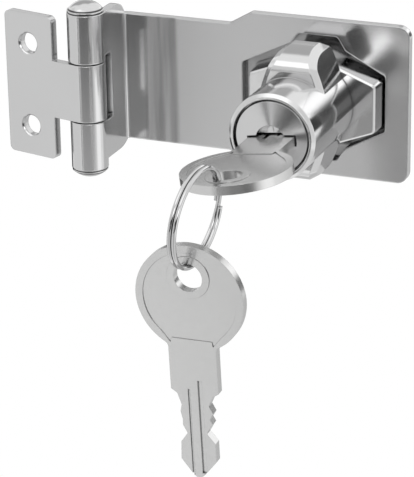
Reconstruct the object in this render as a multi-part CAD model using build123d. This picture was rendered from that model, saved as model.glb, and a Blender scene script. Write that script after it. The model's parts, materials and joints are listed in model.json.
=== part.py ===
import os
from math import cos, radians, sin

from build123d import *

# Keyed hasp lock. Millimetres, +Z up, +Y into the door.
# Origin: the lock's turning axis where it meets the base's mounting plane.

# Sheet metal of the strap and the leaf
SHEET = 1.7
STRAP_FRONT = -4.8
STRAP_HALF = 13.65
PLATE_HALF = 16.5
PLATE_RIGHT = 19.36
PLATE_LEFT = -14.44
CHAMFER_LEFT = -19.35
PLATE_CORNER = 2.4

# Window of the strap: long ends, slanted edges, notch for the wings
WINDOW_LEFT = -16.48
WINDOW_RIGHT = 14.38
WINDOW_SIDE = 5.87
NOTCH_FOOT = 10.4
NOTCH_TOP = 13.2
NOTCH_FOOT_HALF = 5.85
NOTCH_TOP_HALF = 4.15

# Hinge
HINGE_X = -46.46
HINGE_Y = -15.79
PIN_R = 2.1
PIN_GAP = 0.05
ROLL_R = PIN_R + PIN_GAP + SHEET
ROLL_HALF = 16.7
MIDDLE_HALF = 6.1
KNUCKLE_GAP = 0.3
BEND_R = 0.6
CAP_R = 3.75
DOME_TOP = 2.4
DOME_BOTTOM = 2.1

# Crank wall between the barrel and the strap
WALL_STEP = 1.9
WALL_SHOULDER = 4.2
WALL_BULGE = 1.0
WALL_SLOT_TOP = 7.6
WALL_SLOT_BOTTOM = -6.6
WALL_SLOT_BACK = -12.1

# Leaf
LEAF_FOLD = 12.6
LEAF_NEAR = 5.97
LEAF_FAR = 18.21
LEAF_HALF = 15.35
LEAF_HOLE_AT = 12.3
LEAF_HOLE_Z = 8.95
LEAF_HOLE_R = 2.15
LEAF_HOLE_RIM = 0.35

# Base
BOSS_FRONT = -8.94
BOSS_HALF = 13.5
BOSS_SIDE = 4.97
BOSS_APEX = 10.2
BOSS_DRAFT = 7.0
FLANGE_X = 18.0
FLANGE_Z = 15.0
FLANGE_CORNER = 2.0
SCREW_X = 13.0
SCREW_Z = 11.0
SCREW_R = 1.8
SCREW_HEAD_R = 3.2
WEB = 2.54
POCKET_R = 7.9
NOTCH_R = 9.5
NOSE_PLAY = 0.15

# Knob
KNOB_R = 8.98
KNOB_FRONT = -31.7
KNOB_CHAMFER = 0.66
KNOB_LIFT = 0.1
SHANK_R = 6.9
SHANK_GAP = 0.05
SHANK_END = -1.9
HEAD_SEAT = -29.9
HEAD_BORE_R = 7.9
PLUG_BORE_R = 6.05
PLUG_BORE_END = -10.8
TAIL_BORE_R = 3.85

# Wings of the knob
WING_ROOT_FRONT = -20.65
WING_TIP = 13.7
WING_TIP_FRONT = -13.6
WING_TIP_BACK = -11.1
WING_FOOT_BACK = 12.3
WING_SHOULDER = 10.0
WING_ROOT = 3.0
WING_ROOT_HALF = 7.4
WING_MID_HALF = 5.37
WING_TIP_HALF = 3.4
WING_EDGE = 1.1

# Plug, stopped a little past level
PLUG_TURN = 7.0
KEY_DROP = 0.65
HEAD_R = 7.62
HEAD_FRONT = -31.4
HEAD_DISH = 0.35
PLUG_R = 6.0
PLUG_END = -10.9
TAIL_R = 3.8
TAIL_END = -3.4
ECC_R = 2.6
ECC_OFFSET = 1.1
ECC_END = -1.85
ECC_PLAY = 0.06
SLOT_WIDE = 7.6
SLOT_HIGH = 2.3
SLOT_END = -11.55
FACE_SLOT_WIDE = 10.2
FACE_SLOT_DEEP = 1.75
SCOOP_HALF = 2.85
SCOOP_HIGH = 2.0

# Wafers and their springs
WAFER_FIRST = -27.4
WAFER_PITCH = 3.0
WAFERS = 5
WAFER = 0.9
WAFER_SLOT = 1.0
WAFER_WIDE = 5.6
WAFER_R = 5.9
SPRING_R = 0.75
SPRING_WIRE = 0.24
SPRING_LONG = 2.6
SPRING_AT = 4.3

# Locking bolt behind the base
BOLT_FRONT = -3.3
BOLT_BACK = -1.95
BOLT_HALF = 4.65
BOLT_SLOT_HALF = 4.7
BOLT_BOTTOM = -5.2
BOLT_TOP = 4.2
NOSE_HALF = 2.0
NOSE_TIP = 7.5

# Small parts behind the base
SPRING_WASHER = 0.5
RING_FRONT = -5.8
RING_BACK = -4.9
RING_R = 7.7
GROOVE_R = 6.3
KEEPER_R = 6.5
KEEPER = 0.4
SCREW_CORE_R = 0.9
SCREW_TOP_R = 1.9
SCREW_TOP = 0.9
SCREW_DEPTH = 4.2

# Keys
BOW_R = 10.85
BOW_RIM = 1.45
BOW_HOLE_UP = 4.4
BOW_HOLE_R = 2.85
BOW_HOLE_RING_R = 4.25
KEY_THICK = 1.8
PANEL_DEEP = 0.18
NECK_HALF = 4.85
NECK_ROUND = 1.2
NECK_END = -19.2
BLADE_HALF = 3.65
KEY_TIP = -38.16
GROOVE_DEEP = 0.4
KEY1_Y = -49.9
KEY2_AT = (-3.45, -64.85, -20.78)
KEY2_TURN = (2.68, -1.23, 0.2)

# Split ring
RING_WIRE_R = 0.48
RING_MEAN_R = 9.58
RING_AT = (-2.70, -63.63, -5.18)
RING_NORMAL_AZ = -4.3
RING_NORMAL_EL = -6.61

os.makedirs("parts", exist_ok=True)


def block(x0, x1, y0, y1, z0, z1):
    middle = Pos((x0 + x1) / 2, (y0 + y1) / 2, (z0 + z1) / 2)
    return middle * Box(x1 - x0, y1 - y0, z1 - z0)


def rod_y(radius, y0, y1, x=0, z=0):
    return Pos(x, (y0 + y1) / 2, z) * Rot(90, 0, 0) * Cylinder(radius, y1 - y0)


def rod_z(radius, z0, z1, x=0, y=0):
    return Pos(x, y, (z0 + z1) / 2) * Cylinder(radius, z1 - z0)


def front_face(points):
    # Polygon in the X-Z plane, as seen from the front
    return Face(Wire.make_polygon([Vector(x, 0, z) for x, z in points], close=True))


def along_y(face, y0, y1):
    # The face lies at y = 0 and is pushed from y0 to y1
    return Pos(0, y0, 0) * extrude(face, amount=y1 - y0, dir=(0, 1, 0))


def rounded(face, radius, choose):
    corners = [v for v in face.vertices() if choose(v)]
    return face.fillet_2d(radius, corners)


def dome(radius, foot, height, up):
    # A cap with a short straight rim, standing on the plane z = foot
    rim = 0.5
    rise = height - rim
    if rise > radius:
        rise = radius
    ball = (radius * radius + rise * rise) / (2 * rise)
    body = Pos(0, 0, rim + rise - ball) * Sphere(ball)
    body = body & Pos(0, 0, rim + rise / 2) * Box(4 * radius, 4 * radius, rise)
    body = body + Pos(0, 0, rim / 2) * Cylinder(radius, rim)
    if not up:
        body = Rot(180, 0, 0) * body
    return Pos(0, 0, foot) * body


def turned(shape):
    # The plug and all that is in it stand turned against the knob
    return Rot(0, -PLUG_TURN, 0) * shape


# Hinge pin and its pressed-on cap
pin = rod_z(PIN_R, -ROLL_HALF - 1.0, ROLL_HALF)
pin = pin + dome(CAP_R, ROLL_HALF, DOME_TOP, True)
hinge_pin = Pos(HINGE_X, HINGE_Y, 0) * pin
cap = dome(CAP_R, -ROLL_HALF, DOME_BOTTOM, False) - rod_z(PIN_R, -ROLL_HALF - 1.1, -ROLL_HALF)
hinge_pin_cap = Pos(HINGE_X, HINGE_Y, 0) * cap

# Strap with its window, crank wall and two rolled knuckles
strap_back = STRAP_FRONT + SHEET
wall_right = HINGE_X + ROLL_R
wall_left = wall_right - SHEET
outline = [
    (wall_right, -STRAP_HALF), (CHAMFER_LEFT, -STRAP_HALF), (PLATE_LEFT, -PLATE_HALF),
    (PLATE_RIGHT, -PLATE_HALF), (PLATE_RIGHT, PLATE_HALF), (PLATE_LEFT, PLATE_HALF),
    (CHAMFER_LEFT, STRAP_HALF), (wall_right, STRAP_HALF),
]
plate = front_face(outline)
plate = rounded(plate, PLATE_CORNER, lambda v: v.X > PLATE_RIGHT - 0.01)
plate = rounded(plate, 0.8, lambda v: CHAMFER_LEFT - 0.01 < v.X < PLATE_LEFT + 0.01)
strap = along_y(plate, STRAP_FRONT, strap_back)

upper = [
    (WINDOW_RIGHT, WINDOW_SIDE), (NOTCH_FOOT_HALF, NOTCH_FOOT), (NOTCH_TOP_HALF, NOTCH_TOP),
    (-NOTCH_TOP_HALF, NOTCH_TOP), (-NOTCH_FOOT_HALF, NOTCH_FOOT + 0.7), (WINDOW_LEFT, WINDOW_SIDE),
]
lower = [(x, -z) for x, z in reversed(upper)]
window = front_face(upper + lower)
window = rounded(window, 1.1, lambda v: abs(v.Z) > NOTCH_TOP - 0.01)
window = rounded(window, 0.7, lambda v: v.X > WINDOW_RIGHT - 0.01 or v.X < WINDOW_LEFT + 0.01)
strap = strap - along_y(window, STRAP_FRONT - 1, strap_back + 1)

# Crank wall, drawn as seen from the side (Y to the right, Z up)
wall_bottom = WALL_STEP - ROLL_HALF
shoulder = STRAP_FRONT - WALL_SHOULDER


def side_point(y, z):
    return Vector(wall_left, y, z)


def side_curve(y0, z0, y1, z1, bulge):
    # From the shoulder down to the strap's edge, bulging outwards
    middle = side_point((y0 + y1) / 2, (z0 + z1) / 2 + bulge)
    return Edge.make_three_point_arc(side_point(y0, z0), middle, side_point(y1, z1))


top_curve = side_curve(shoulder, ROLL_HALF, STRAP_FRONT, STRAP_HALF, WALL_BULGE)
low_curve = side_curve(shoulder, wall_bottom, STRAP_FRONT, -STRAP_HALF, -WALL_BULGE / 3)
left_lines = Wire.make_polygon([
    side_point(shoulder, wall_bottom), side_point(HINGE_Y, wall_bottom), side_point(HINGE_Y, ROLL_HALF),
    side_point(shoulder, ROLL_HALF)], close=False)
right_lines = Wire.make_polygon([
    side_point(STRAP_FRONT, STRAP_HALF), side_point(strap_back, STRAP_HALF), side_point(strap_back, -STRAP_HALF),
    side_point(STRAP_FRONT, -STRAP_HALF)], close=False)
wall = Face(Wire([top_curve, low_curve] + list(left_lines.edges()) + list(right_lines.edges())))
wall = extrude(wall, amount=SHEET, dir=(1, 0, 0))
wall = wall - block(
    wall_left - 1, wall_right + 1, HINGE_Y - 1, WALL_SLOT_BACK, WALL_SLOT_BOTTOM, WALL_SLOT_TOP)
# The bend: a thin filler inside, a round outside
reach = ROLL_HALF + PLATE_HALF
inside = block(wall_right, wall_right + BEND_R, STRAP_FRONT - BEND_R, STRAP_FRONT, -STRAP_HALF, STRAP_HALF)
inside = inside - rod_z(BEND_R, -reach, reach, wall_right + BEND_R, STRAP_FRONT - BEND_R)
outer_r = BEND_R + SHEET
outside = block(wall_left - 1, wall_left + outer_r, strap_back - outer_r, strap_back + 1, -reach, reach)
outside = outside - rod_z(outer_r, -reach, reach, wall_left + outer_r, strap_back - outer_r)
strap = strap + wall + inside - outside

knuckle_low = MIDDLE_HALF + KNUCKLE_GAP
rolls = rod_z(ROLL_R, knuckle_low, ROLL_HALF) + rod_z(ROLL_R, -ROLL_HALF, -knuckle_low)
rolls = Pos(HINGE_X, HINGE_Y, 0) * rolls
strap = strap + rolls
strap = strap - rod_z(PIN_R, -ROLL_HALF - 1, ROLL_HALF + 1, HINGE_X, HINGE_Y)
seam = block(wall_left - 0.25, wall_left, HINGE_Y + 0.2, HINGE_Y + ROLL_R, -ROLL_HALF - 1, ROLL_HALF + 1)
hasp_strap = strap - seam

# Leaf, built flat with the pin at the origin, then folded back
leaf_face = Face(Wire.make_polygon(
    [Vector(x, -ROLL_R, z) for x, z in [
        (-LEAF_NEAR, -LEAF_HALF), (-LEAF_NEAR, LEAF_HALF), (-LEAF_FAR, LEAF_HALF), (-LEAF_FAR, -LEAF_HALF)]],
    close=True))
leaf_face = leaf_face.fillet_2d(1.2, leaf_face.vertices())
leaf = extrude(leaf_face, amount=SHEET, dir=(0, 1, 0))
leaf = leaf + block(-LEAF_NEAR - 1, 0, -ROLL_R, -ROLL_R + SHEET, -MIDDLE_HALF, MIDDLE_HALF)
leaf = leaf + rod_z(ROLL_R, -MIDDLE_HALF, MIDDLE_HALF)
leaf = leaf - rod_z(PIN_R + PIN_GAP, -reach, reach)
leaf = leaf - block(-ROLL_R - 1, -PIN_R, -ROLL_R + SHEET, -ROLL_R + SHEET + 0.25, -reach, reach)
for z in (-LEAF_HOLE_Z, LEAF_HOLE_Z):
    leaf = leaf - rod_y(LEAF_HOLE_R, -ROLL_R - 1, -ROLL_R + SHEET + 1, -LEAF_HOLE_AT, z)
    rim = Pos(-LEAF_HOLE_AT, -ROLL_R + LEAF_HOLE_RIM / 2, z) * Rot(-90, 0, 0)
    leaf = leaf - rim * Cone(LEAF_HOLE_R + LEAF_HOLE_RIM, LEAF_HOLE_R, LEAF_HOLE_RIM)
hinge_leaf = Pos(HINGE_X, HINGE_Y, 0) * Rot(0, 0, -LEAF_FOLD) * leaf

# Base: hidden flange, boss that fills the window, pocket for the works
flange = front_face([(-FLANGE_X, -FLANGE_Z), (FLANGE_X, -FLANGE_Z), (FLANGE_X, FLANGE_Z), (-FLANGE_X, FLANGE_Z)])
flange = flange.fillet_2d(FLANGE_CORNER, flange.vertices())
base = along_y(flange, strap_back, 0)
boss_points = [
    (BOSS_HALF, -BOSS_SIDE), (BOSS_HALF, BOSS_SIDE), (0, BOSS_APEX), (-BOSS_HALF, BOSS_SIDE),
    (-BOSS_HALF, -BOSS_SIDE), (0, -BOSS_APEX),
]
boss_face = front_face(boss_points)
boss_face = rounded(boss_face, 9.0, lambda v: abs(v.Z) > BOSS_APEX - 0.01)
boss_face = rounded(boss_face, 1.0, lambda v: abs(v.X) > BOSS_HALF - 0.01)
boss = extrude(Pos(0, BOSS_FRONT, 0) * boss_face, amount=strap_back - BOSS_FRONT + 0.5, dir=(0, 1, 0), taper=-BOSS_DRAFT)
front_edges = [e for e in boss.edges() if abs(e.center().Y - BOSS_FRONT) < 0.01]
boss = chamfer(front_edges, 0.35)
base = base + boss
base = base - rod_y(SHANK_R + SHANK_GAP, BOSS_FRONT - 1, 1)
base = base - rod_y(POCKET_R, BOSS_FRONT + WEB, 1)
nose_side = NOSE_HALF + NOSE_PLAY
base = base - block(-nose_side, nose_side, BOLT_FRONT - 0.2, 1, 0, NOTCH_R)
base = base - block(-NOTCH_R, 0, BOLT_FRONT - 0.2, 1, -nose_side, nose_side)
for x in (-SCREW_X, SCREW_X):
    for z in (-SCREW_Z, SCREW_Z):
        base = base - rod_y(SCREW_R, strap_back - 1, 1, x, z)
        sink = SCREW_HEAD_R - SCREW_R
        cone = Pos(x, strap_back + sink / 2, z) * Rot(-90, 0, 0) * Cone(SCREW_HEAD_R, SCREW_R, sink)
        base = base - cone
lock_base = base

# Knob: barrel, two wings, shank with a ring groove and a slot for the bolt
knob_back = BOSS_FRONT - KNOB_LIFT
barrel = rod_y(KNOB_R, KNOB_FRONT, knob_back)
barrel = chamfer([e for e in barrel.edges() if abs(e.center().Y - KNOB_FRONT) < 0.01], KNOB_CHAMFER)


def wing_profile():
    # Side view, Y and |Z|: straight root, elliptic nose, short tip, chamfered foot
    reach_y = WING_TIP_FRONT - WING_ROOT_FRONT
    reach_z = WING_TIP - WING_SHOULDER
    low = Vector(0, WING_ROOT_FRONT, WING_SHOULDER)
    high = Vector(0, WING_TIP_FRONT, WING_TIP)
    nose = Edge.make_bezier(low, low + Vector(0, 0, 0.55 * reach_z), high - Vector(0, 0.55 * reach_y, 0), high)
    rest = Wire.make_polygon([
        high, Vector(0, WING_TIP_BACK, WING_TIP), Vector(0, knob_back, WING_FOOT_BACK),
        Vector(0, knob_back, WING_ROOT), Vector(0, WING_ROOT_FRONT, WING_ROOT), low], close=False)
    return Face(Wire([nose] + list(rest.edges())))


def wing():
    body = Pos(-KNOB_R, 0, 0) * extrude(wing_profile(), amount=2 * KNOB_R, dir=(1, 0, 0))
    top = WING_TIP + 0.5
    middle = WING_TIP - 3.7
    plan = Face(Wire([
        Edge.make_three_point_arc(
            Vector(WING_ROOT_HALF, 0, WING_ROOT), Vector(WING_MID_HALF, 0, middle), Vector(WING_TIP_HALF, 0, top)),
        Edge.make_line(Vector(WING_TIP_HALF, 0, top), Vector(-WING_TIP_HALF, 0, top)),
        Edge.make_three_point_arc(
            Vector(-WING_TIP_HALF, 0, top), Vector(-WING_MID_HALF, 0, middle), Vector(-WING_ROOT_HALF, 0, WING_ROOT)),
        Edge.make_line(Vector(-WING_ROOT_HALF, 0, WING_ROOT), Vector(WING_ROOT_HALF, 0, WING_ROOT))]))
    body = body & along_y(plan, KNOB_FRONT, 0)
    sharp = []
    for e in body.edges():
        c = e.center()
        if c.Y < WING_TIP_FRONT and c.Z > WING_ROOT + 0.1 and abs(c.X) > WING_TIP_HALF / 2:
            sharp.append(e)
    return chamfer(sharp, WING_EDGE)


one_wing = wing()
knob_body = barrel + one_wing + Rot(0, 180, 0) * one_wing
knob_body = knob_body + rod_y(SHANK_R, knob_back - 0.5, SHANK_END)
knob_body = knob_body - rod_y(HEAD_BORE_R, KNOB_FRONT - 1, HEAD_SEAT)
knob_body = knob_body - rod_y(PLUG_BORE_R, KNOB_FRONT, PLUG_BORE_END)
knob_body = knob_body - rod_y(TAIL_BORE_R, KNOB_FRONT, 0)
for a in (0, 90):
    slot = block(-PLUG_BORE_R - 0.8, PLUG_BORE_R + 0.8, HEAD_SEAT, PLUG_BORE_END, -1.2, 1.2)
    knob_body = knob_body - Rot(0, a, 0) * slot
groove = rod_y(SHANK_R + 1, RING_FRONT - 0.05, RING_BACK + 0.05) - rod_y(GROOVE_R, RING_FRONT - 1, RING_BACK + 1)
knob_body = knob_body - groove
knob_body = knob_body - block(-BOLT_SLOT_HALF, BOLT_SLOT_HALF, TAIL_END, 0, -10, 10)
knob = knob_body

# Plug: dished face, keyway, wafer slots, eccentric tail
face_profile = [
    (0, HEAD_FRONT + HEAD_DISH), (HEAD_R - 0.25, HEAD_FRONT), (HEAD_R, HEAD_FRONT + 0.25),
    (HEAD_R, HEAD_SEAT - 0.05), (0, HEAD_SEAT - 0.05),
]
head = Face(Wire.make_polygon([Vector(x, y, 0) for x, y in face_profile], close=True))
plug = revolve(head, Axis.Y, 360)
plug = plug + rod_y(PLUG_R, HEAD_SEAT - 0.5, PLUG_END) + rod_y(TAIL_R, PLUG_END - 0.5, TAIL_END)
ecc_x = ECC_OFFSET * cos(radians(225))
ecc_z = ECC_OFFSET * sin(radians(225))
eccentric = Rot(0, PLUG_TURN, 0) * rod_y(ECC_R, TAIL_END - 0.5, ECC_END, ecc_x, ecc_z)
plug = plug + eccentric
slot_low = -KEY_DROP - SLOT_HIGH / 2
slot_top = -KEY_DROP + SLOT_HIGH / 2
plug = plug - block(-SLOT_WIDE / 2, SLOT_WIDE / 2, HEAD_FRONT - 1, SLOT_END, slot_low, slot_top)
mouth = block(
    -FACE_SLOT_WIDE / 2, FACE_SLOT_WIDE / 2, HEAD_FRONT - 1, HEAD_FRONT + FACE_SLOT_DEEP, slot_low, slot_top)
plug = plug - mouth
scoop_r = (SCOOP_HALF * SCOOP_HALF + SCOOP_HIGH * SCOOP_HIGH) / (2 * SCOOP_HIGH)
scoop = rod_y(scoop_r, HEAD_FRONT - 1, HEAD_FRONT + FACE_SLOT_DEEP, -0.4, slot_top + SCOOP_HIGH - scoop_r)
scoop = scoop & block(-10, 10, HEAD_FRONT - 1, HEAD_FRONT + FACE_SLOT_DEEP, slot_top - 0.2, 10)
plug = plug - scoop
for i in range(WAFERS):
    y = WAFER_FIRST + i * WAFER_PITCH
    plug = plug - block(-8, 8, y - WAFER_SLOT / 2, y + WAFER_SLOT / 2, -WAFER_WIDE / 2 - 0.05, WAFER_WIDE / 2 + 0.05)
    pocket = Pos(0, y, SPRING_AT) * Rot(0, 90, 0) * Cylinder(SPRING_R + 0.15, SPRING_LONG + 0.2)
    plug = plug - pocket
plug = plug - rod_y(SCREW_CORE_R, ECC_END - SCREW_DEPTH, 0)
lock_plug = turned(plug)

# Wafers, drawn in by the key
wafers = []
for i in range(WAFERS):
    y = WAFER_FIRST + i * WAFER_PITCH
    w = rod_y(WAFER_R, y - WAFER / 2, y + WAFER / 2)
    w = w & block(-8, 8, y - WAFER / 2, y + WAFER / 2, -WAFER_WIDE / 2, WAFER_WIDE / 2)
    w = w - block(-SLOT_WIDE / 2, SLOT_WIDE / 2, y - 1, y + 1, slot_low, slot_top)
    wafers.append(turned(w))

# Springs of the wafers
coils = []
for i in range(WAFERS):
    y = WAFER_FIRST + i * WAFER_PITCH
    path = Helix(pitch=SPRING_LONG / 3, height=SPRING_LONG - SPRING_WIRE, radius=SPRING_R - SPRING_WIRE / 2)
    start = path @ 0
    section = Plane(origin=start, x_dir=(0, 0, 1), z_dir=path % 0) * Rectangle(SPRING_WIRE, SPRING_WIRE)
    coil = Pos(0, 0, -(SPRING_LONG - SPRING_WIRE) / 2) * sweep(section, path=path, is_frenet=True)
    coils.append(turned(Pos(0, y, SPRING_AT) * Rot(0, 90, 0) * coil))
wafer_springs = Compound(children=coils)

# Locking bolt on the eccentric
bolt = block(-BOLT_HALF, BOLT_HALF, BOLT_FRONT, BOLT_BACK, BOLT_BOTTOM, BOLT_TOP)
bolt = bolt + block(-NOSE_HALF, NOSE_HALF, BOLT_FRONT, BOLT_BACK, BOLT_TOP - 1, NOSE_TIP)
eye = ECC_R + ECC_PLAY
bolt = bolt - block(
    -ECC_OFFSET - eye - 0.1, ecc_x + eye + 0.1, BOLT_FRONT - 1, BOLT_BACK + 1,
    ecc_z - eye, ecc_z + eye)
locking_bolt = bolt

# Keeper washer and its screw
keeper = rod_y(KEEPER_R, ECC_END, ECC_END + KEEPER) - rod_y(SCREW_CORE_R, ECC_END - 1, 0)
keeper_washer = turned(keeper)
screw = rod_y(SCREW_TOP_R, ECC_END + KEEPER, ECC_END + KEEPER + SCREW_TOP)
screw = screw + rod_y(SCREW_CORE_R, ECC_END - SCREW_DEPTH + 0.2, ECC_END + KEEPER + 0.1)
screw = screw - block(-2.5, 2.5, ECC_END + KEEPER + SCREW_TOP - 0.4, 0, -0.3, 0.3)
keeper_screw = turned(screw)

# Spring washer and retaining ring behind the web
web_back = BOSS_FRONT + WEB
spring_washer = rod_y(POCKET_R - 0.15, web_back, web_back + SPRING_WASHER) - rod_y(SHANK_R + 0.15, BOSS_FRONT, 0)
ring = rod_y(RING_R, RING_FRONT, RING_BACK) - rod_y(GROOVE_R, RING_FRONT - 1, RING_BACK + 1)
retaining_ring = ring - block(-1.6, 1.6, RING_FRONT - 1, RING_BACK + 1, -10, 0)


def key_blank():
    # Bow in the X-Z plane, tip down
    left = [
        (-BLADE_HALF, -20.0), (-2.86, -22.35), (-3.17, -23.84), (-2.8, -25.6), (-2.86, -26.7), (-2.0, -28.4),
        (-3.4, -30.4), (-3.61, -34.1), (-1.17, -37.3), (-0.06, KEY_TIP),
    ]
    right = [
        (1.19, -37.0), (3.65, -33.97), (3.66, -30.07), (2.02, -28.05), (3.31, -25.84), (2.78, -24.87),
        (3.5, -23.6), (2.72, -22.07), (BLADE_HALF, -20.0),
    ]
    low = [(-NECK_HALF, -8.0), (-NECK_HALF, NECK_END)] + left + right + [(NECK_HALF, NECK_END), (NECK_HALF, -8.0)]
    shank = along_y(front_face(low), -KEY_THICK / 2, KEY_THICK / 2)
    body = rod_y(BOW_R, -KEY_THICK / 2, KEY_THICK / 2) + shank
    corners = []
    for e in body.edges().filter_by(Axis.Y):
        c = e.center()
        if abs(abs(c.X) - NECK_HALF) < 0.01 and -BOW_R < c.Z < -NECK_HALF:
            corners.append(e)
    body = fillet(corners, NECK_ROUND)
    body = body - rod_y(BOW_HOLE_R, -2, 2, 0, BOW_HOLE_UP)
    # Sunk panel inside the rim, which runs down to the neck round a raised foot
    floor = -KEY_THICK / 2 + PANEL_DEEP
    rim_r = BOW_R - BOW_RIM
    panel = rod_y(rim_r, -KEY_THICK / 2, floor)
    skirt = front_face([(-8.0, -4.9), (-4.4, -9.3), (4.4, -9.3), (8.0, -4.9)])
    panel = panel + along_y(skirt, -KEY_THICK / 2, floor)
    panel = panel - rod_y(BOW_HOLE_RING_R, -2, 2, 0, BOW_HOLE_UP)
    foot = front_face([(-4.75, -12), (-4.1, -8.4), (4.1, -8.4), (4.75, -12)])
    panel = panel - along_y(foot, -2, 2)
    body = body - panel - Rot(0, 0, 180) * panel
    depth = KEY_THICK / 2 - GROOVE_DEEP
    for turn in (0, 180):
        wide = block(0.65, 1.6, -KEY_THICK, -depth, -36.8, -16.9)
        thin = block(-1.4, -0.9, -KEY_THICK, -depth - 0.15, -37.3, -18.9)
        body = body - Rot(0, 0, turn) * wide - Rot(0, 0, turn) * thin
    return body


blank = key_blank()
key_1 = turned(Pos(0, KEY1_Y, -KEY_DROP) * Rot(90, 0, 0) * blank)
key_2 = Pos(*KEY2_AT) * Rot(0, 0, KEY2_TURN[2]) * Rot(KEY2_TURN[0], 0, 0) * Rot(0, KEY2_TURN[1], 0) * blank

# Split ring: two turns of wire side by side
az = radians(RING_NORMAL_AZ)
el = radians(RING_NORMAL_EL)
normal = Vector(cos(el) * cos(az), cos(el) * sin(az), sin(el))
wire = Pos(RING_MEAN_R, 0, 0) * Rot(90, 0, 0) * RegularPolygon(RING_WIRE_R, 8, rotation=22.5)
turn = revolve(wire, Axis.Z, 360)
side_step = RING_WIRE_R * cos(radians(22.5))
rings = Pos(0, 0, side_step) * turn + Pos(0, 0, -side_step) * turn
key_ring = Plane(origin=RING_AT, z_dir=normal).location * rings

out = {
    "hinge_leaf": hinge_leaf, "hasp_strap": hasp_strap, "hinge_pin": hinge_pin, "hinge_pin_cap": hinge_pin_cap,
    "lock_base": lock_base, "knob": knob, "lock_plug": lock_plug, "wafer_springs": wafer_springs,
    "locking_bolt": locking_bolt, "keeper_washer": keeper_washer, "keeper_screw": keeper_screw,
    "spring_washer": spring_washer, "retaining_ring": retaining_ring, "key_1": key_1, "key_2": key_2,
    "key_ring": key_ring,
}
for i, w in enumerate(wafers):
    out["wafer_" + str(i + 1)] = w
for name, shape in out.items():
    export_step(shape, "parts/" + name + ".step")
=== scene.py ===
import json
import math
import bpy
from mathutils import Matrix, Vector


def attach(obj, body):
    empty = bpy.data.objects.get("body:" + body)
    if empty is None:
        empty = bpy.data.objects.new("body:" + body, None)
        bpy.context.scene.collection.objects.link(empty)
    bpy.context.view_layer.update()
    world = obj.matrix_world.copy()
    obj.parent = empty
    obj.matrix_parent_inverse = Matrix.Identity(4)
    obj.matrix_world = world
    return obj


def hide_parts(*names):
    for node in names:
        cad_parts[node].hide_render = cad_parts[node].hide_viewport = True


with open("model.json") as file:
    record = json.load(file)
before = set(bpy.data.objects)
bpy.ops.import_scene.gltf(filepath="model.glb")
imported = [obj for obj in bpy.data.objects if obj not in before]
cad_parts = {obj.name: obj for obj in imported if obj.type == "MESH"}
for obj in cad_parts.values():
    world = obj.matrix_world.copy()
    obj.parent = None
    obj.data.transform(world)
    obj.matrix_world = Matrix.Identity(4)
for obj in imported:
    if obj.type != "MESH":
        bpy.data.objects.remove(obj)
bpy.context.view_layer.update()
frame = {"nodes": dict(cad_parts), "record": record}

# Camera: fitted to the photograph's outlines. Its focal length and centre are in pixels.
CAMERA_AZIMUTH = math.radians(22.9)
CAMERA_ELEVATION = math.radians(21.67)
CAMERA_ROLL = math.radians(-1.09)
EYE = Vector((0.1606, -0.4509, 0.1575))
PICTURE_WIDE = 414
PICTURE_HIGH = 477
FOCAL_LENGTH = 2447.94
CENTRE_X = 194.5
CENTRE_Y = 239.4
SENSOR = 36
NEAREST = 0.01


def camera():
    level = math.cos(CAMERA_ELEVATION)
    ahead = Vector((-math.sin(CAMERA_AZIMUTH) * level, math.cos(CAMERA_AZIMUTH) * level,
                    -math.sin(CAMERA_ELEVATION)))
    right = Vector((math.cos(CAMERA_AZIMUTH), math.sin(CAMERA_AZIMUTH), 0))
    up = right.cross(ahead)
    rolled_right = right * math.cos(CAMERA_ROLL) + up * math.sin(CAMERA_ROLL)
    rolled_up = up * math.cos(CAMERA_ROLL) - right * math.sin(CAMERA_ROLL)
    data = bpy.data.cameras.new("camera")
    data.sensor_fit = "HORIZONTAL"
    data.sensor_width = SENSOR
    data.lens = FOCAL_LENGTH / PICTURE_WIDE * SENSOR
    data.shift_x = (PICTURE_WIDE / 2 - CENTRE_X) / PICTURE_WIDE
    data.shift_y = (CENTRE_Y - PICTURE_HIGH / 2) / PICTURE_WIDE
    data.clip_start = NEAREST
    ob = bpy.data.objects.new("camera", data)
    bpy.context.collection.objects.link(ob)
    place = Matrix((rolled_right, rolled_up, -ahead)).transposed().to_4x4()
    place.translation = EYE
    ob.matrix_world = place
    bpy.context.scene.camera = ob


camera()


# Small helpers: tree is the node tree of a material or of the world,
# and a value is a socket or a plain number
def feed(tree, value, socket):
    if hasattr(value, "is_linked"):
        tree.links.new(value, socket)
    elif value is not None:
        socket.default_value = value


def calc(tree, operation, first, second=None):
    node = tree.nodes.new("ShaderNodeMath")
    node.operation = operation
    feed(tree, first, node.inputs[0])
    feed(tree, second, node.inputs[1])
    return node.outputs[0]


def ramp(tree, value, low, high, start=0.0, end=1.0, kind="LINEAR"):
    node = tree.nodes.new("ShaderNodeMapRange")
    node.interpolation_type = kind
    feed(tree, value, node.inputs["Value"])
    feed(tree, low, node.inputs["From Min"])
    feed(tree, high, node.inputs["From Max"])
    feed(tree, start, node.inputs["To Min"])
    feed(tree, end, node.inputs["To Max"])
    return node.outputs["Result"]


def axes(tree, place):
    node = tree.nodes.new("ShaderNodeSeparateXYZ")
    tree.links.new(place, node.inputs[0])
    return node.outputs


def stretched(tree, place, scale):
    node = tree.nodes.new("ShaderNodeMapping")
    node.inputs["Scale"].default_value = scale
    tree.links.new(place, node.inputs["Vector"])
    return node.outputs["Vector"]


def noise(tree, place, scale, detail, roughness):
    node = tree.nodes.new("ShaderNodeTexNoise")
    node.inputs["Scale"].default_value = scale
    node.inputs["Detail"].default_value = detail
    node.inputs["Roughness"].default_value = roughness
    tree.links.new(place, node.inputs["Vector"])
    return node.outputs["Fac"]


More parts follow.
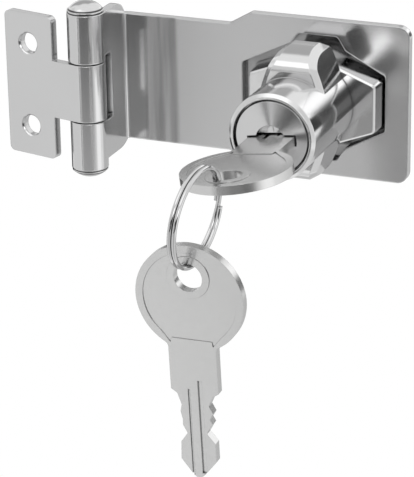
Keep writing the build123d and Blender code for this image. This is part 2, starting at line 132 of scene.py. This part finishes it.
def mixed(tree, amount, first, second, blend="MIX"):
    node = tree.nodes.new("ShaderNodeMix")
    node.data_type = "RGBA"
    node.blend_type = blend
    feed(tree, amount, node.inputs[0])
    feed(tree, first, node.inputs[6])
    feed(tree, second, node.inputs[7])
    return node.outputs[2]


def grey(tone):
    return (tone, tone, tone, 1)


# What one metal has alone: each function takes its colour or normal so far and gives it back
# changed. Lengths are in metres and a tone multiplies the colour.
# Painted reflection: dark upright streaks on the strap's flat beside its bend
STREAKS_LEFT = -0.0388
STREAKS_RIGHT = -0.0318
STREAKS_SOFT_LEFT = 0.0012
STREAKS_SOFT_RIGHT = 0.0016
STREAKS_BACK = -0.0046
STREAKS_STRETCH = (1, 0.05, 0.06)
STREAKS_NOISE = (420.0, 2.0, 0.5)
STREAKS_FAINT = 0.35
STREAKS_FULL = 0.6
STREAKS_LEAST = 0.35
STREAKS_REFLECTION_TONE = 0.55


def painted_reflection_streaks(tree, place, colour):
    # Painted reflection: dark upright streaks over the strap's flat beside its bend, on the front
    # only
    where = axes(tree, place)
    rise = ramp(tree, where["X"], STREAKS_LEFT, STREAKS_LEFT + STREAKS_SOFT_LEFT,
                kind="SMOOTHSTEP")
    fall = ramp(tree, where["X"], STREAKS_RIGHT + STREAKS_SOFT_RIGHT, STREAKS_RIGHT,
                kind="SMOOTHSTEP")
    stripes = noise(tree, stretched(tree, place, STREAKS_STRETCH), *STREAKS_NOISE)
    strong = ramp(tree, stripes, STREAKS_FAINT, STREAKS_FULL, start=STREAKS_LEAST)
    ahead = calc(tree, "LESS_THAN", where["Y"], STREAKS_BACK)
    amount = rise
    for other in (fall, strong, ahead):
        amount = calc(tree, "MULTIPLY", amount, other)
    return mixed(tree, amount, colour, grey(STREAKS_REFLECTION_TONE), "MULTIPLY")


RIM_HEIGHTS = (0.01684, 0.01745, -0.01684, -0.01738)
RIM_LINE_CORE = 0.0001
RIM_LINE_EDGE = 0.0002
RIM_LINE_TONE = 0.12


def rim_lines(tree, place, colour):
    # Dark lines round the pin's head and cap, at heights along Z
    height = axes(tree, place)["Z"]
    for rim in RIM_HEIGHTS:
        away = calc(tree, "ABSOLUTE", calc(tree, "SUBTRACT", height, rim))
        near = ramp(tree, away, RIM_LINE_EDGE, RIM_LINE_CORE)
        colour = mixed(tree, near, colour, grey(RIM_LINE_TONE), "MULTIPLY")
    return colour


# Painted shade on the base's flange, where it lies in the gap behind the strap's plate
FLANGE_FRONT = -0.0033
FLANGE_SHADE_TONE = 0.5


def flange_painted_shade(tree, place, colour):
    # Painted shade: the base's flange behind the strap's plate is darkened, for the shadowed gap
    # behind the plate
    behind = calc(tree, "GREATER_THAN", axes(tree, place)["Y"], FLANGE_FRONT)
    return mixed(tree, behind, colour, grey(FLANGE_SHADE_TONE), "MULTIPLY")


CONE_SLOPE = 0.3


def turned_cone(tree, place, normal):
    # A face turned to a shallow cone about the Y axis, as a bump
    where = axes(tree, place)
    flat = tree.nodes.new("ShaderNodeCombineXYZ")
    tree.links.new(where["X"], flat.inputs["X"])
    tree.links.new(where["Z"], flat.inputs["Z"])
    radius = tree.nodes.new("ShaderNodeVectorMath")
    radius.operation = "LENGTH"
    tree.links.new(flat.outputs[0], radius.inputs[0])
    cone = tree.nodes.new("ShaderNodeBump")
    cone.inputs["Strength"].default_value = 1.0
    cone.inputs["Distance"].default_value = 1.0
    feed(tree, calc(tree, "MULTIPLY", radius.outputs["Value"], -CONE_SLOPE), cone.inputs["Height"])
    tree.links.new(normal, cone.inputs["Normal"])
    return cone.outputs["Normal"]


# Metal: brushed or cast grain in roughness and bump, soft edges, faint clouds and painted shade in
# hollows.
# grain stretches the noise along each axis and fine is its scale, edge is the radius of the soft
# edges, deep is how far the painted hollow shade reaches and least is its darkest tone.
CLOUD_NOISE = (70.0, 3.0, 0.5)
CLOUD_CONTRAST = 0.03
HOLLOW_CLOSED = 0.3
HOLLOW_OPEN = 0.75
GRAIN_DETAIL = 4.0
GRAIN_ROUGHNESS = 0.6
GRAIN_HEIGHT = 0.0002
NODE_SAMPLES = 8


def cloudy(tree, place, colour):
    clouds = noise(tree, place, *CLOUD_NOISE)
    darker = (*[c * (1 - CLOUD_CONTRAST) for c in colour], 1)
    lighter = (*[c * (1 + CLOUD_CONTRAST) for c in colour], 1)
    return mixed(tree, clouds, darker, lighter)


def painted_hollow_shade(tree, colour, deep, least):
    # Painted shade: ambient occlusion darkens the colour in hollows, creases and between parts
    shade = tree.nodes.new("ShaderNodeAmbientOcclusion")
    shade.samples = NODE_SAMPLES
    shade.inputs["Distance"].default_value = deep
    openness = ramp(tree, shade.outputs["AO"], HOLLOW_CLOSED, HOLLOW_OPEN, start=least)
    return mixed(tree, 1.0, colour, openness, "MULTIPLY")


def soft_grain(tree, grains, edge, bump):
    soft = tree.nodes.new("ShaderNodeBevel")
    soft.samples = NODE_SAMPLES
    soft.inputs["Radius"].default_value = edge
    relief = tree.nodes.new("ShaderNodeBump")
    relief.inputs["Strength"].default_value = bump
    relief.inputs["Distance"].default_value = GRAIN_HEIGHT
    tree.links.new(grains, relief.inputs["Height"])
    tree.links.new(soft.outputs["Normal"], relief.inputs["Normal"])
    return relief.outputs["Normal"]


def metal(name, colour, rough, spread=0.03, grain=(1, 1, 1), fine=900.0, bump=0.005, edge=0.0003,
          deep=0.002, least=0.25, marks=None, shape=None):
    material = bpy.data.materials.new(name)
    material.use_nodes = True
    tree = material.node_tree
    surface = tree.nodes["Principled BSDF"]
    surface.inputs["Metallic"].default_value = 1.0
    place = tree.nodes.new("ShaderNodeTexCoord").outputs["Object"]
    grains = noise(tree, stretched(tree, place, grain), fine, GRAIN_DETAIL, GRAIN_ROUGHNESS)
    shaded = painted_hollow_shade(tree, cloudy(tree, place, colour), deep, least)
    if marks:
        shaded = marks(tree, place, shaded)
    tree.links.new(shaded, surface.inputs["Base Color"])
    gloss = ramp(tree, grains, 0.0, 1.0, start=rough - spread, end=rough + spread)
    tree.links.new(gloss, surface.inputs["Roughness"])
    normal = soft_grain(tree, grains, edge, bump)
    if shape:
        normal = shape(tree, place, normal)
    tree.links.new(normal, surface.inputs["Normal"])
    return material


SATIN = (0.69, 0.69, 0.692)
BY_SLOT = {
    "sheet": metal("satin_sheet", SATIN, rough=0.16, grain=(1, 14, 14), fine=500.0, bump=0.004,
                   edge=0.00035, least=0.5, marks=painted_reflection_streaks),
    "pin": metal("satin_pin", SATIN, rough=0.12, grain=(6, 6, 1), fine=600.0, bump=0.004,
                 least=0.5, marks=rim_lines),
    "cast": metal("plated_casting", (0.73, 0.73, 0.732), rough=0.11, fine=500.0, bump=0.002,
                  edge=0.0002, least=0.5, marks=flange_painted_shade),
    "plug": metal("turned_plug", (0.7, 0.7, 0.702), rough=0.17, bump=0.003, edge=0.0001,
                  deep=0.0008, least=0.6, shape=turned_cone),
    "wafer": metal("plain_brass", (0.72, 0.56, 0.28), rough=0.3, spread=0.05, bump=0.01,
                   edge=0.0001),
    "works": metal("zinc_plated_steel", (0.55, 0.56, 0.58), rough=0.38, spread=0.06, bump=0.015,
                   edge=0.0001),
    "spring": metal("spring_steel", (0.42, 0.42, 0.44), rough=0.3, spread=0.05, bump=0.01,
                    edge=0.00005),
    "key": metal("nickel_key", (0.7, 0.7, 0.697), rough=0.25, spread=0.04, bump=0.004,
                 edge=0.00008, deep=0.0006, least=0.15),
    "ring": metal("ring_wire", (0.66, 0.66, 0.662), rough=0.06, spread=0.02, bump=0.003,
                  edge=0.00004, deep=0.0014, least=0.05),
}


def dress():
    # Every solid gets the material of its slot
    for part in frame["record"]["subparts"]:
        solid = frame["nodes"][part["node"]]
        material = BY_SLOT[part["material_slot"]]
        for slot in solid.material_slots:
            slot.material = material
        if not solid.material_slots:
            solid.data.materials.append(material)


dress()

# Split ring: one wire wound twice, its ends cut short. Halfway along, it steps sideways from one
# turn to the other, smoothly, over about RING_STEP each way. TURN_OFFSET, a share of the wire's
# radius, is how far each turn lies from the ring's middle plane.
RING_CENTRE = Vector((-0.0027, -0.06363, -0.00518))
RING_AZIMUTH = math.radians(-4.3)
RING_ELEVATION = math.radians(-6.61)
RING_RADIUS = 0.00958
WIRE_RADIUS = 0.00046
TURN_OFFSET = 0.99
RING_START = math.radians(180)
RING_LENGTH = math.radians(714)
RING_STEP = math.radians(36)
STATIONS = 300
SIDES = 14


def ring_points():
    level = math.cos(RING_ELEVATION)
    normal = Vector((level * math.cos(RING_AZIMUTH), level * math.sin(RING_AZIMUTH),
                     math.sin(RING_ELEVATION)))
    across = normal.cross(Vector((0, 0, 1))).normalized()
    upright = normal.cross(across)
    points = []
    for station in range(STATIONS + 1):
        wound = station / STATIONS * RING_LENGTH
        angle = RING_START + wound
        side = math.tanh((wound - RING_LENGTH / 2) / RING_STEP) * WIRE_RADIUS * TURN_OFFSET
        out = across * math.cos(angle) + upright * math.sin(angle)
        middle = RING_CENTRE + out * RING_RADIUS + normal * side
        for corner in range(SIDES):
            around = 2 * math.pi * corner / SIDES
            points.append(middle + (out * math.cos(around) + normal * math.sin(around)) * WIRE_RADIUS)
    return points


def ring_faces():
    faces = []
    for station in range(STATIONS):
        here, ahead = station * SIDES, (station + 1) * SIDES
        for corner in range(SIDES):
            beside = (corner + 1) % SIDES
            faces.append((here + corner, here + beside, ahead + beside, ahead + corner))
    faces.append(tuple(reversed(range(SIDES))))
    faces.append(tuple(STATIONS * SIDES + corner for corner in range(SIDES)))
    return faces


def split_ring():
    mesh = bpy.data.meshes.new("split_ring")
    mesh.from_pydata(ring_points(), [], ring_faces())
    mesh.update()
    for face in mesh.polygons:
        face.use_smooth = len(face.vertices) == 4
    ob = bpy.data.objects.new("split_ring", mesh)
    bpy.context.collection.objects.link(ob)
    mesh.materials.append(BY_SLOT["ring"])
    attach(ob, "ring")
    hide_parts("key_ring")


split_ring()

# Studio: white for the camera, and for the metal a room of layers, each over those before it.
# A layer is a tone and two windows in degrees, of azimuth (0 is the front, plus is towards +X)
# and of elevation. A window rises between its first two angles and falls between its last two.
# A layer without a window of elevation covers every height.
ROOM_TONE = 1.0
STUDIO = [
    # The front half of the room, with a light field low left and a dimmer one low in front
    (0.8, (-112, -95, 95, 112), None),
    (1.0, (-38, -28, -23, -21.2), (-60, -50, -12, 0)),
    (0.53, (-23.5, -20, 32, 52), (-100, -95, -21, -18)),
    (1.1, (-23.6, -23.2, -22.2, -20.8), (-40, -34, -18, -16)),
    # The dark side where the camera stands, a light strip on its right and two paler fields in it
    (0.06, (-21, -15, 50, 66), (-19.8, -17.6, 6, 10)),
    (1.2, (68, 74, 96, 104), (-35, -28, 14, 20)),
    (0.2, (16, 20, 29, 33), (-16, -12, -5, -1)),
    (0.4, (-18, -13, 3, 10), (-14, -11, -4, 1)),
    # A narrow dark post on the left, and the light fields above the front
    (0.1, (-29, -27, -23.6, -23), (-24, -21, 12, 25)),
    (2.1, (10, 16, 36, 44), (9, 12, 24, 32)),
    (1.0, (-120, -100, 100, 120), (40, 50, 100, 110)),
    (1.4, (-75, -55, 20, 40), (36, 42, 66, 76)),
    # Behind: a light field over a dark one on the right, a dim field over a dark post on the left
    (1.5, (140, 148, 164, 172), (9, 11, 19, 26)),
    (0.05, (138, 143, 158, 164), (-10, -7, 6, 9)),
    (0.06, (-168, -163, -152, -147), (-16, -12, 4, 8)),
    (0.5, (-178, -172, -125, -115), (12, 20, 52, 62)),
    # The dimmer low back in two halves, and a dark field low on its left
    (0.6, (112, 124, 181, 182), (-75, -60, -17, -11)),
    (0.6, (-182, -181, -128, -116), (-75, -60, -17, -11)),
    (0.06, (-146, -138, -116, -110), (-45, -35, -10, -4)),
]


def window(tree, angle, span):
    rise = ramp(tree, angle, span[0], span[1], kind="SMOOTHSTEP")
    fall = ramp(tree, angle, span[3], span[2], kind="SMOOTHSTEP")
    return calc(tree, "MULTIPLY", rise, fall)


def room_level(tree):
    way = axes(tree, tree.nodes.new("ShaderNodeTexCoord").outputs["Generated"])
    turn = calc(tree, "ARCTAN2", way["X"], calc(tree, "MULTIPLY", way["Y"], -1.0))
    azimuth = calc(tree, "MULTIPLY", turn, 180 / math.pi)
    elevation = calc(tree, "MULTIPLY", calc(tree, "ARCSINE", way["Z"]), 180 / math.pi)
    level = ROOM_TONE
    for tone, azimuth_span, elevation_span in STUDIO:
        mask = window(tree, azimuth, azimuth_span)
        if elevation_span:
            mask = calc(tree, "MULTIPLY", mask, window(tree, elevation, elevation_span))
        layer = tree.nodes.new("ShaderNodeMix")
        feed(tree, mask, layer.inputs["Factor"])
        feed(tree, level, layer.inputs[2])
        feed(tree, tone, layer.inputs[3])
        level = layer.outputs[0]
    return level


def studio():
    world = bpy.data.worlds.new("studio")
    bpy.context.scene.world = world
    world.use_nodes = True
    tree = world.node_tree
    tree.nodes.clear()
    room = tree.nodes.new("ShaderNodeBackground")
    room.inputs["Color"].default_value = grey(1)
    tree.links.new(room_level(tree), room.inputs["Strength"])
    white = tree.nodes.new("ShaderNodeBackground")
    white.inputs["Color"].default_value = grey(1)
    white.inputs["Strength"].default_value = 1.0
    choice = tree.nodes.new("ShaderNodeMixShader")
    path = tree.nodes.new("ShaderNodeLightPath")
    tree.links.new(path.outputs["Is Camera Ray"], choice.inputs["Fac"])
    tree.links.new(room.outputs[0], choice.inputs[1])
    tree.links.new(white.outputs[0], choice.inputs[2])
    output = tree.nodes.new("ShaderNodeOutputWorld")
    tree.links.new(choice.outputs[0], output.inputs["Surface"])


studio()

bpy.context.scene.view_settings.view_transform = "Standard"
